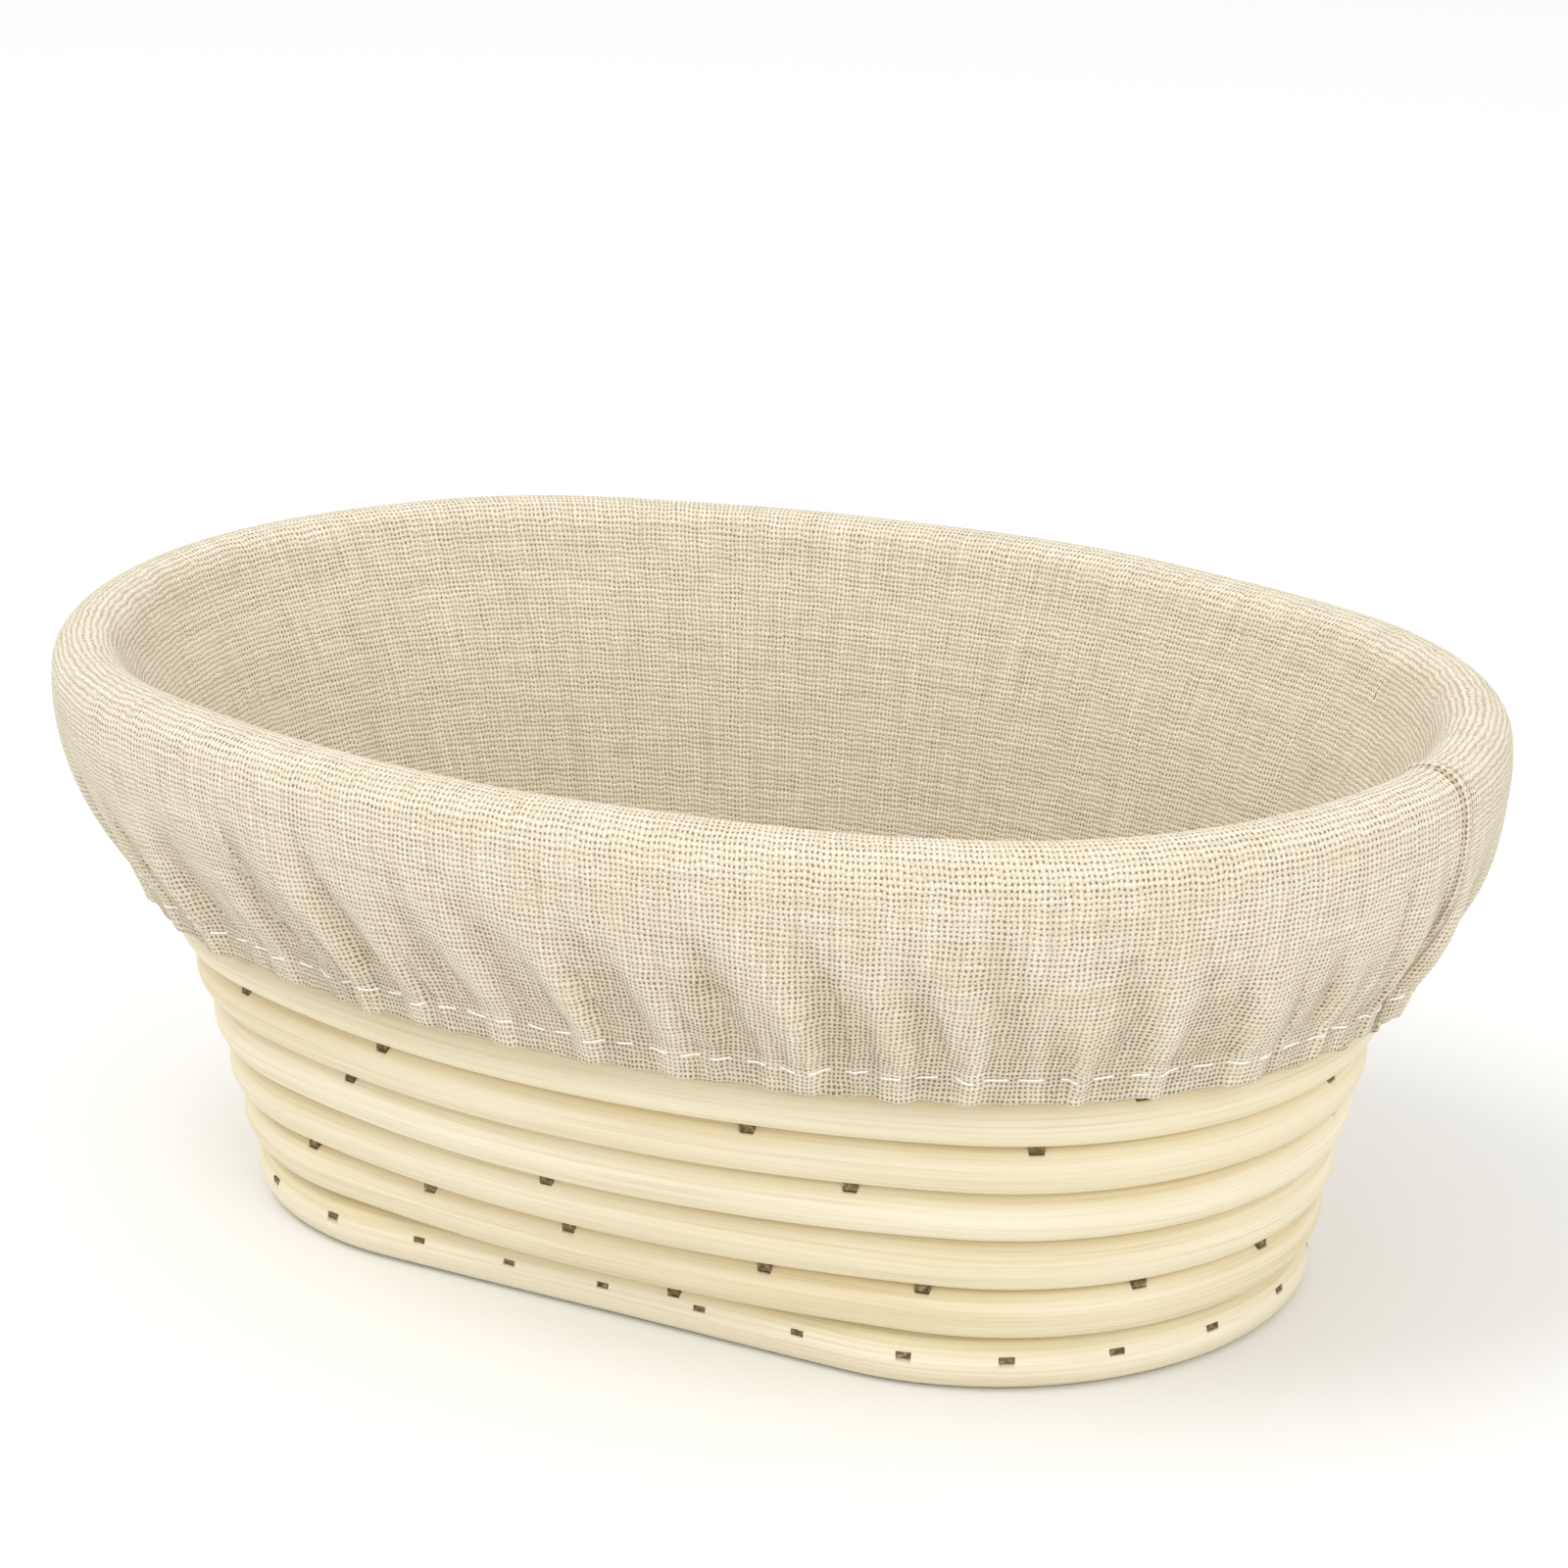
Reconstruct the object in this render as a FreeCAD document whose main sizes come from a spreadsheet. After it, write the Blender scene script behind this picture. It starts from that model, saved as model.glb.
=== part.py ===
import FreeCAD, Part
import math
import os
from collections import namedtuple

from FreeCAD import Placement, Rotation, Vector

# An oval proofing basket of round cane with a cloth liner, in millimetres.
#
# Closed turns of cane are stacked and flare outwards from a flat coiled base. T-headed brads
# hold each turn to the one before it. The liner is a base panel and a side band that lines the
# wall, folds over the rim and ends in an elastic hem drawn in against the outside of the wall.
# The origin is the middle of the footprint, on the surface that the basket stands on. X runs
# along the basket and Z points up.

DIMENSIONS = [
    ("rim_length", 206.6, "length over the rim turn"),
    ("rim_width", 136.8, "width over the rim turn"),
    ("base_length", 157.4, "length over the bottom turn"),
    ("base_turns", 4, "turns inside the bottom turn, round the centre cane"),
    ("wall_turns", 11, "turns from the bottom turn to the rim"),
    ("cane_diameter", 7.55, "diameter of the cane"),
    ("cane_gap", 0.03, "air between one turn and the next where they are closest"),
    ("base_gap", 0.06, "air between one turn and the next in the base"),
    ("worn_flat", 0.25, "how much of the cane is worn away where the basket stands on it"),
    ("side_bow", 7.5, "how far the sides of the upper turns bow out past the ends' radius"),
    ("bow_growth", 5.8, "how soon the bow is reached above the straight-sided base"),
    ("end_late_flare", 0.54, "how much of the ends' flare is kept for the rim"),
    ("end_early_flare", -0.25, "how much the ends flare early, at the base"),
    ("side_late_flare", 0.28, "how much of the sides' flare is kept for the rim"),
    ("side_early_flare", 0.55, "how much the sides flare early, at the base"),
    ("brad_head_width", 2.0, "brad head, along the cane"),
    ("brad_head_depth", 0.9, "brad head, along the brad"),
    ("brad_shank_width", 1.2, "brad shank, along the cane"),
    ("brad_thickness", 0.8, "brad, across the cane"),
    ("brad_sink", 0.3, "depth of the head under the cane's surface"),
    ("brad_slack", 0.02, "room round a brad in its hole"),
    ("wall_brad_hold", 2.1, "how far a wall brad goes past the middle of the upper cane"),
    ("base_brad_hold", 2.9, "how far a base brad goes into the cane inside"),
    ("brad_shoulder", 28.0, "degrees from the seam down to the brad's head"),
    ("brad_stagger", 1.2, "how far base brads are above or below the cane's middle, by turns"),
    ("cloth_thickness", 0.8, "liner cloth"),
    ("cloth_gap", 0.35, "air between the liner and the canes"),
    ("hem_gap", 0.12, "air between the elastic and the hem's cloth"),
    ("hem_bottom", 45.5, "height of the hem's lower edge"),
    ("hem_width", 5.5, "hem, up the wall"),
    ("skirt_fullness", 1.7, "how low the skirt stays full before it draws in to the hem"),
    ("elastic_thickness", 0.9, "elastic in the hem"),
    ("elastic_width", 4.5, "elastic, up the wall"),
    ("hem_stitching", 4.0, "hem stitching, above the hem's lower edge"),
    ("thread_diameter", 0.5, "sewing thread"),
    ("stitch_length", 3.2, "visible length of a stitch"),
    ("stitch_pitch", 4.6, "from one stitch to the next"),
]

UP = Vector(0, 0, 1)
FOLD_STEPS = 9
SKIRT_STEPS = 8

# Brads that hold each wall turn to the turn below it, counted up from the second turn. A turn
# that is not listed has USUAL_BRADS.
WALL_BRADS = {2: 4, 3: 16, 4: 3, 5: 6, 6: 10}
USUAL_BRADS = 12
BOTTOM_BRADS = 27
BASE_BRAD_SPACING = 17.0
BRAD_WANDER = 0.16

Oval = namedtuple("Oval", "end_centre end_radius bow height")

document = FreeCAD.newDocument("ProofingBasket")


# ---------------------------------------------------------------- the sheet of sizes


def make_sheet():
    sheet = document.addObject("Spreadsheet::Sheet", "Sizes")
    for row, (alias, value, meaning) in enumerate(DIMENSIONS, start=1):
        sheet.set(f"A{row}", alias)
        sheet.set(f"B{row}", str(value))
        sheet.set(f"C{row}", meaning)
        sheet.setAlias(f"B{row}", alias)
    document.recompute()
    return sheet


sizes = make_sheet()
cane_radius = sizes.cane_diameter / 2
cane_pitch = sizes.cane_diameter + sizes.cane_gap
liner_reach = cane_radius + sizes.cloth_gap
hem_reach = liner_reach + sizes.elastic_thickness + sizes.hem_gap
wall_turns = int(sizes.wall_turns)
base_turns = int(sizes.base_turns)


def turn_name(number):
    if number == 1:
        return "bottom_turn"
    if number == wall_turns:
        return "rim_turn"
    return f"wall_turn_{number:02d}"


# ---------------------------------------------------------------- the shape of each turn
#
# A turn is an oval of four arcs. Its two ends are arcs of one radius, and its sides are long
# arcs that meet the ends smoothly. With no bow the sides are straight.


def add_values(values, formulas):
    for name, (kind, formula) in formulas.items():
        values.addProperty(f"App::Property{kind}", name, "Turn")
        values.setExpression(name, formula)


def lay_out_wall_turn(number):
    """The values of one wall turn, from the bottom turn, number 1, to the rim."""
    values = document.addObject("App::VarSet", f"Turn_{number:02d}")
    share = f"({number - 1} / (Sizes.wall_turns - 1))"
    late = f"{share}^2 * (1 - {share})"
    early = f"{share} * (1 - {share})^2"
    end_growth = f"({share} - Sizes.end_late_flare * {late} + Sizes.end_early_flare * {early})"
    side_growth = f"({share} - Sizes.side_late_flare * {late} + Sizes.side_early_flare * {early})"
    base_width = "(Sizes.base_turns + 1) * (Sizes.cane_diameter + Sizes.base_gap)"
    formulas = {
        "SemiLength": (
            "Float",
            "(Sizes.base_length - Sizes.cane_diameter) / 2"
            f" + (Sizes.rim_length - Sizes.base_length) / 2 * {end_growth}",
        ),
        "SemiWidth": (
            "Float",
            f"{base_width}"
            f" + ((Sizes.rim_width - Sizes.cane_diameter) / 2 - {base_width}) * {side_growth}",
        ),
        "Bow": ("Float", f"Sizes.side_bow * (1 - (1 - {share})^Sizes.bow_growth)"),
        "EndRadius": ("Float", "SemiWidth - Bow"),
        "EndCentre": ("Float", "SemiLength - EndRadius"),
    }
    if number == 1:
        formulas["Height"] = ("Float", "Sizes.cane_diameter / 2 - Sizes.worn_flat")
    else:
        below = f"Turn_{number - 1:02d}"
        flares = [f"{side} - {below}.{side}" for side in ("SemiLength", "SemiWidth", "EndRadius")]
        # Where a turn crosses over the one below it, the least step between them is none.
        flare = f"max(0; min({'; '.join(flares)}))"
        formulas["Height"] = (
            "Float",
            f"{below}.Height + sqrt((Sizes.cane_diameter + Sizes.cane_gap)^2 - {flare}^2)",
        )
        formulas["SideCentre"] = ("Float", "(EndCentre^2 - Bow^2) / (2 * Bow)")
        formulas["SideRadius"] = ("Float", "SemiWidth + SideCentre")
        formulas["JoinAngle"] = ("Angle", "atan2(SideCentre; EndCentre)")
    add_values(values, formulas)
    return values


def lay_out_base_turn(number):
    """The values of one base turn. They are parallel to the bottom turn, evenly spaced."""
    values = document.addObject("App::VarSet", f"Base_{number:02d}")
    add_values(
        values,
        {
            "EndRadius": ("Float", f"Turn_01.SemiWidth * {number} / (Sizes.base_turns + 1)"),
            "EndCentre": ("Float", "Turn_01.EndCentre"),
            "Bow": ("Float", "0"),
            "Height": ("Float", "Turn_01.Height"),
        },
    )
    return values


def oval_of(values):
    return Oval(values.EndCentre, values.EndRadius, values.Bow, values.Height)


def grown(oval, outwards, upwards=0.0):
    """The oval moved outwards all round, and up."""
    return oval._replace(end_radius=oval.end_radius + outwards, height=oval.height + upwards)


def mixed(first, second, share):
    return Oval(*(a + (b - a) * share for a, b in zip(first, second)))


def mean_radius(oval):
    return (oval.end_centre + 2 * oval.end_radius + oval.bow) / 2


def arc_edge(centre, radius, start, end):
    return Part.Arc(Part.Circle(centre, UP, radius), start, end).toShape()


def oval_wire(oval):
    centre = oval.end_centre
    height = oval.height
    radius = oval.end_radius
    if oval.bow < 1e-6:
        join = math.pi / 2
        sides = [
            Part.makeLine(Vector(centre, radius, height), Vector(-centre, radius, height)),
            Part.makeLine(Vector(-centre, -radius, height), Vector(centre, -radius, height)),
        ]
    else:
        side_centre = (centre**2 - oval.bow**2) / (2 * oval.bow)
        side_radius = radius + oval.bow + side_centre
        join = math.atan2(side_centre, centre)
        below = Vector(0, -side_centre, height)
        above = Vector(0, side_centre, height)
        sides = [
            arc_edge(below, side_radius, join, math.pi - join),
            arc_edge(above, side_radius, math.pi + join, 2 * math.pi - join),
        ]
    ends = [
        arc_edge(Vector(centre, 0, height), radius, -join, join),
        arc_edge(Vector(-centre, 0, height), radius, math.pi - join, math.pi + join),
    ]
    return Part.Wire([ends[0], sides[0], ends[1], sides[1]])


def spots_along(oval, shares):
    """For each share of the way round: the point, the way out and the way along there."""
    steps = 2400
    points = oval_wire(oval).discretize(Number=steps + 1)[:-1]
    for share in shares:
        index = round(share * steps) % steps
        along = (points[(index + 1) % steps] - points[index - 1]).normalize()
        outwards = along.cross(UP)
        if outwards.dot(points[index]) < 0:
            outwards = -outwards
            along = -along
        yield points[index], outwards, along


# ---------------------------------------------------------------- canes


def cane_arc(name, values, radius, centre_x, centre_y, start, sweep):
    """A piece of bent cane round a vertical axis."""
    arc = document.addObject("Part::Torus", name)
    arc.setExpression("Radius1", radius)
    arc.setExpression("Radius2", "Sizes.cane_diameter / 2")
    arc.setExpression("Angle3", sweep)
    arc.setExpression("Placement.Base.x", centre_x)
    arc.setExpression("Placement.Base.y", centre_y)
    arc.setExpression("Placement.Base.z", f"{values.Name}.Height")
    arc.setExpression("Placement.Rotation.Angle", start)
    return arc


def straight_cane(name, values, start_y):
    """A straight cane as long as the distance between the two end centres, along X."""
    run = document.addObject("Part::Cylinder", name)
    run.Placement.Rotation = Rotation(Vector(0, 1, 0), 90)
    run.setExpression("Radius", "Sizes.cane_diameter / 2")
    run.setExpression("Height", f"2 * {values.Name}.EndCentre")
    run.setExpression("Placement.Base.x", f"-{values.Name}.EndCentre")
    run.setExpression("Placement.Base.y", start_y)
    run.setExpression("Placement.Base.z", f"{values.Name}.Height")
    return run


def fused(name, pieces):
    fusion = document.addObject("Part::MultiFuse", name)
    fusion.Shapes = pieces
    return fusion


def cut(name, base, tool):
    cutting = document.addObject("Part::Cut", name)
    cutting.Base = base
    cutting.Tool = tool
    return cutting


def bowed_turn(name, values):
    turn = values.Name
    radius = f"{turn}.EndRadius"
    side_radius = f"{turn}.SideRadius"
    join = f"{turn}.JoinAngle"
    end_sweep = f"2 * {join}"
    side_sweep = f"180 deg - 2 * {join}"
    right, left = f"{turn}.EndCentre", f"-{turn}.EndCentre"
    near, far = f"{turn}.SideCentre", f"-{turn}.SideCentre"
    pieces = [
        cane_arc(f"{name}_right", values, radius, right, "0", f"-{join}", end_sweep),
        cane_arc(f"{name}_back", values, side_radius, "0", far, join, side_sweep),
        cane_arc(f"{name}_left", values, radius, left, "0", f"180 deg - {join}", end_sweep),
        cane_arc(f"{name}_front", values, side_radius, "0", near, f"180 deg + {join}", side_sweep),
    ]
    return fused(f"{name}_cane", pieces)


def straight_sided_turn(name, values):
    turn = values.Name
    radius = f"{turn}.EndRadius"
    right, left = f"{turn}.EndCentre", f"-{turn}.EndCentre"
    pieces = [
        cane_arc(f"{name}_right", values, radius, right, "0", "-90 deg", "180 deg"),
        straight_cane(f"{name}_back", values, radius),
        cane_arc(f"{name}_left", values, radius, left, "0", "90 deg", "180 deg"),
        straight_cane(f"{name}_front", values, f"-{radius}"),
    ]
    return fused(f"{name}_cane", pieces)


def worn_away():
    """A block under the surface that the basket stands on, to cut the worn flats with."""
    block = document.addObject("Part::Box", "worn_away")
    block.setExpression("Length", "Sizes.rim_length")
    block.setExpression("Width", "Sizes.rim_width")
    block.setExpression("Height", "Sizes.cane_diameter")
    block.setExpression("Placement.Base.x", "-Sizes.rim_length / 2")
    block.setExpression("Placement.Base.y", "-Sizes.rim_width / 2")
    block.setExpression("Placement.Base.z", "-Sizes.cane_diameter")
    return block


# ---------------------------------------------------------------- brads


def brad_solid(length, room=0.0, open_above=0.0):
    """A T-headed brad along +X from the face of its head. Its hole has room all round it."""
    head = sizes.brad_head_width / 2 + room
    shank = sizes.brad_shank_width / 2 + room
    neck = sizes.brad_head_depth + room
    tip = length + room
    thickness = sizes.brad_thickness + 2 * room
    half = [(-open_above, head), (neck, head), (neck, shank), (tip, shank)]
    outline = half + [(x, -y) for x, y in reversed(half)]
    points = [Vector(x, y, -thickness / 2) for x, y in outline]
    return Part.Face(Part.makePolygon(points + points[:1])).extrude(UP * thickness)


def wall_brad_places(lower, upper, shares):
    """Brads sunk in the shoulder of the lower turn, under the seam, and driven into the upper."""
    upper_wire = oval_wire(upper)
    for point, outwards, along in spots_along(lower, shares):
        nearest = upper_wire.distToShape(Part.Vertex(point))[1][0][0]
        to_seam = (nearest - point).normalize()
        across = (outwards - to_seam * outwards.dot(to_seam)).normalize()
        angle = math.radians(sizes.brad_shoulder)
        shoulder = to_seam * math.cos(angle) + across * math.sin(angle)
        head = point + shoulder * (cane_radius - sizes.brad_sink)
        yield brad_placement(head, nearest - head, along)


def wall_brad_length():
    """From a head in the shoulder of the lower cane to past the middle of the upper cane."""
    head = cane_radius - sizes.brad_sink
    angle = math.radians(sizes.brad_shoulder)
    run_squared = head**2 + cane_pitch**2 - 2 * head * cane_pitch * math.cos(angle)
    return math.sqrt(run_squared) + sizes.wall_brad_hold


def base_brad_places(outer, lift, shares, length):
    """Brads driven straight in through the side of an outer turn into the turn inside it.

    Round the ends of a tight turn they would meet, so there they are left out.
    """
    for point, outwards, along in spots_along(outer, shares):
        if outer.end_radius < length and abs(point.x) > outer.end_centre:
            continue
        head = point + outwards * (cane_radius - sizes.brad_sink) + UP * lift
        yield brad_placement(head, -outwards, along)


def brad_placement(head, drive, along):
    drive = drive.normalize()
    return Placement(head, Rotation(drive, along, drive.cross(along), "XYZ"))


def uneven_shares(count, start):
    """Shares of the way round for brads that were placed by eye."""
    return [(k + start + BRAD_WANDER * math.sin(2.4 * k * (start + 1))) / count for k in range(count)]


def feature(name, shape):
    part = document.addObject("Part::Feature", name)
    part.Shape = shape
    return part


def drive_brads(name, places, length):
    """The brads of one seam, and the holes that they sit in."""
    places = list(places)
    brad = brad_solid(length)
    hole = brad_solid(length, sizes.brad_slack, cane_radius)
    brads = feature(name, Part.makeCompound([brad.transformed(p.Matrix) for p in places]))
    holes = feature(f"{name}_holes", Part.makeCompound([hole.transformed(p.Matrix) for p in places]))
    return brads, holes


# ---------------------------------------------------------------- cloth


def cloth_solid(stations, thickness):
    """Cloth that follows a row of ovals. It thickens to the left of the way the row runs."""
    shown = []
    for index, oval in enumerate(stations):
        before = stations[max(index - 1, 0)]
        after = stations[min(index + 1, len(stations) - 1)]
        run = mean_radius(after) - mean_radius(before)
        rise = after.height - before.height
        length = math.hypot(run, rise)
        shown.append(grown(oval, -rise / length * thickness, run / length * thickness))
    back_wires = [oval_wire(oval) for oval in stations]
    shown_wires = [oval_wire(oval) for oval in shown]
    faces = Part.makeLoft(back_wires, False, True).Faces
    faces += Part.makeLoft(shown_wires, False, True).Faces
    for end in (0, -1):
        faces += Part.makeRuledSurface(back_wires[end], shown_wires[end]).Faces
    shell = Part.makeShell(faces)
    shell.sewShape()
    solid = Part.makeSolid(shell)
    if solid.Volume < 0:
        solid.reverse()
    return solid, shown


def wall_slope(ovals, index):
    """How far the wall leans out at a turn, as an angle from upright."""
    before = ovals[max(index - 1, 0)]
    after = ovals[min(index + 1, len(ovals) - 1)]
    return math.atan2(mean_radius(after) - mean_radius(before), after.height - before.height)


def wall_at(ovals, height, reach):
    """The oval that stands off the canes' centre line at a height, by reach square to the wall."""
    index = max(i for i, oval in enumerate(ovals) if oval.height <= height)
    lower, upper = ovals[index], ovals[index + 1]
    here = mixed(lower, upper, (height - lower.height) / (upper.height - lower.height))
    return grown(here, reach / math.cos(wall_slope(ovals, index)))


def inner_wall_stations(ovals, floor_height):
    """Up the inside of the wall, from the base panel to the rim turn."""
    upright = grown(ovals[1], -liner_reach)
    stations = [upright._replace(height=floor_height), upright]
    for index in range(1, len(ovals) - 1):
        lean = wall_slope(ovals, index)
        inwards = -liner_reach * math.cos(lean)
        stations.append(grown(ovals[index], inwards, liner_reach * math.sin(lean)))
    return stations


def fold_stations(ovals):
    """Over the rim turn, from the inside to straight out."""
    first = math.pi - wall_slope(ovals, len(ovals) - 1)
    angles = [first * (1 - step / FOLD_STEPS) for step in range(FOLD_STEPS + 1)]
    return [grown(ovals[-1], liner_reach * math.cos(a), liner_reach * math.sin(a)) for a in angles]


def hem_rows(ovals, reach):
    """The lower and upper edges of the hem, standing off the canes' centre line by reach."""
    return [wall_at(ovals, sizes.hem_bottom + up, reach) for up in (0, sizes.hem_width)]


def skirt_stations(ovals, fold_end):
    """Down the outside, full at first and then drawn in to the hem on the wall."""
    hem_bottom, hem_top = hem_rows(ovals, hem_reach)
    stations = []
    for step in range(1, SKIRT_STEPS + 1):
        share = step / SKIRT_STEPS
        drawn_in = mixed(fold_end, hem_top, share**sizes.skirt_fullness)
        falling = mixed(fold_end, hem_top, share)
        stations.append(drawn_in._replace(height=falling.height))
    return stations + [hem_bottom]


def stitches(oval, reach, room=0.05):
    """Running stitches that lie on the cloth round an oval."""
    standing = grown(oval, reach + sizes.thread_diameter / 2 + room)
    count = int(oval_wire(standing).Length // sizes.stitch_pitch)
    shares = [k / count for k in range(count)]
    return [
        Part.makeCylinder(
            sizes.thread_diameter / 2,
            sizes.stitch_length,
            point - along * (sizes.stitch_length / 2),
            along,
        )
        for point, _outwards, along in spots_along(standing, shares)
    ]


# ---------------------------------------------------------------- the basket


def build_canes():
    """Every turn before its brad holes are cut, as rows of (name, values, cane)."""
    wall = []
    values = lay_out_wall_turn(1)
    block = worn_away()
    bottom = cut("bottom_turn_worn", straight_sided_turn("bottom_turn", values), block)
    wall.append(("bottom_turn", values, bottom))
    for number in range(2, wall_turns + 1):
        name = turn_name(number)
        turn_values = lay_out_wall_turn(number)
        wall.append((name, turn_values, bowed_turn(name, turn_values)))
    base = []
    for number in range(1, base_turns + 1):
        name = f"base_turn_{number}"
        turn_values = lay_out_base_turn(number)
        cane = cut(f"{name}_worn", straight_sided_turn(name, turn_values), block)
        base.append((name, turn_values, cane))
    centre = cut("base_centre_worn", straight_cane("base_centre_run", values, "0"), block)
    document.recompute()
    return wall, base, centre


def build_brads(wall, base):
    """Brads for every seam, with the canes that each set of holes is cut in."""
    sets = []
    ovals = [oval_of(values) for _name, values, _cane in wall]
    for number in range(2, wall_turns + 1):
        count = WALL_BRADS.get(number, USUAL_BRADS)
        shares = uneven_shares(count, 0.37 * number % 1)
        places = wall_brad_places(ovals[number - 2], ovals[number - 1], shares)
        brads, holes = drive_brads(f"brads_{turn_name(number)}", places, wall_brad_length())
        sets.append((brads, holes, [turn_name(number - 1), turn_name(number)]))
    base_names = ["base_centre_cane"] + [name for name, _values, _cane in base] + ["bottom_turn"]
    base_ovals = [oval_of(values) for _name, values, _cane in base] + [ovals[0]]
    for index, oval in enumerate(base_ovals):
        count = max(4, round(oval_wire(oval).Length / BASE_BRAD_SPACING))
        if index == len(base_ovals) - 1:
            count = BOTTOM_BRADS
        shares = uneven_shares(count, 0.29 * (index + 1))
        lift = -sizes.brad_stagger if index % 2 else sizes.brad_stagger
        length = sizes.cane_diameter + sizes.base_gap + sizes.base_brad_hold
        places = base_brad_places(oval, lift, shares, length)
        brads, holes = drive_brads(f"brads_{base_names[index + 1]}", places, length)
        sets.append((brads, holes, base_names[index : index + 2]))
    return sets


def drill(name, cane, sets):
    """The cane with the holes of each set of brads that goes into it."""
    for brads, holes, canes in sets:
        if name in canes:
            cane = cut(f"{name}_{brads.Name}", cane, holes)
    cane.Label = name
    return cane


def build_liner(wall):
    ovals = [oval_of(values) for _name, values, _cane in wall]
    floor_height = ovals[0].height + liner_reach
    inner = inner_wall_stations(ovals, floor_height)
    fold = fold_stations(ovals)
    skirt = skirt_stations(ovals, fold[-1])
    band, _shown = cloth_solid(inner + fold + skirt, sizes.cloth_thickness)

    panel_edge = grown(inner[0], -sizes.cloth_thickness - sizes.cloth_gap)
    panel = Part.Face(oval_wire(panel_edge)).extrude(UP * sizes.cloth_thickness)

    inset = (1 - sizes.elastic_width / sizes.hem_width) / 2
    elastic_path = [mixed(*hem_rows(ovals, liner_reach), share) for share in (1 - inset, inset)]
    elastic, _shown = cloth_solid(elastic_path, sizes.elastic_thickness)

    hem_front = hem_rows(ovals, hem_reach + sizes.cloth_thickness)
    stitch_line = mixed(*hem_front, sizes.hem_stitching / sizes.hem_width)
    hem_stitches = stitches(stitch_line, sizes.cloth_gap)
    seam = grown(panel_edge, 0, sizes.cloth_thickness + sizes.thread_diameter)
    base_stitches = stitches(seam, -sizes.stitch_pitch)
    return [
        feature("liner_side_band", band),
        feature("liner_base_panel", panel),
        feature("liner_hem_elastic", elastic),
        feature("liner_hem_stitches", Part.makeCompound(hem_stitches)),
        feature("liner_base_stitches", Part.makeCompound(base_stitches)),
    ]


def build_basket():
    wall, base, centre = build_canes()
    brad_sets = build_brads(wall, base)
    parts = [drill(name, cane, brad_sets) for name, _values, cane in wall + base]
    parts.append(drill("base_centre_cane", centre, brad_sets))
    parts += [brads for brads, _holes, _canes in brad_sets]
    parts += build_liner(wall)
    document.recompute()
    return parts


def check(parts):
    for item in document.Objects:
        if "Invalid" in item.State or "Error" in item.State:
            raise RuntimeError(f"{item.Name} is {item.State}")
    for part in parts:
        if part.Shape.isNull() or not part.Shape.isValid():
            raise RuntimeError(f"{part.Label} has no valid shape")
        if any(solid.Volume <= 0 for solid in part.Shape.Solids) or not part.Shape.Solids:
            raise RuntimeError(f"{part.Label} has no solid")


def export(parts):
    os.makedirs("parts", exist_ok=True)
    for part in parts:
        part.Shape.exportStep(f"parts/{part.Label}.step")


basket_parts = build_basket()
check(basket_parts)
export(basket_parts)
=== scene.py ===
import math
from collections import namedtuple

import bpy
import bmesh
import numpy as np
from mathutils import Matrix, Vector


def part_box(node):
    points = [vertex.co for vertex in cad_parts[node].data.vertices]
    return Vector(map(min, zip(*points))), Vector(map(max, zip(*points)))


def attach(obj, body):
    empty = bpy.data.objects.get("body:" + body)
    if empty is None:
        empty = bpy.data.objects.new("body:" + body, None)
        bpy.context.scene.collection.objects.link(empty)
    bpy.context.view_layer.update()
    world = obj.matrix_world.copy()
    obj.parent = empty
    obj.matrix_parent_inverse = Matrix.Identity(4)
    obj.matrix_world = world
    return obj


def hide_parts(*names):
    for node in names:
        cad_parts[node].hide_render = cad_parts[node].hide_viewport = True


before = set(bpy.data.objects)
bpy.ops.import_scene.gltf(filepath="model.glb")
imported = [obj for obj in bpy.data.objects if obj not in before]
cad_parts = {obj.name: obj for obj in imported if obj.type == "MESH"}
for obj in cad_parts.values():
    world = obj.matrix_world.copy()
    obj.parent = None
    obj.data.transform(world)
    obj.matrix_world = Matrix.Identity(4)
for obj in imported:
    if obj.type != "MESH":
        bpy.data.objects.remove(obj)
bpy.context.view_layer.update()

MM = 0.001
UP = np.array([0.0, 0.0, 1.0])

# ---------------------------------------------------------------- sizes, in metres

SIDE_BOW = 7.5 * MM
BOW_GROWTH = 5.8
CLOTH = 0.8 * MM
CLOTH_GAP = 0.35 * MM
HEM_BOTTOM = 45.5 * MM
HEM_WIDTH = 5.5 * MM
ELASTIC = 0.9 * MM
HEM_GAP = 0.12 * MM
SKIRT_FULLNESS = 1.7
WEAVE_PITCH = 0.72 * MM
ELASTIC_RIB_PITCH = 0.55 * MM
HEM_STITCHING = 4.0 * MM

Oval = namedtuple("Oval", "end_centre end_radius bow height")


def node_box(name):
    low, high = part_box(name)
    return np.array(low), np.array(high)


# ---------------------------------------------------------------- ovals
#
# Every turn of cane and every row of the cloth is an oval of four arcs: two ends of one radius,
# and two long sides that bow out and meet them smoothly.


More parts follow.
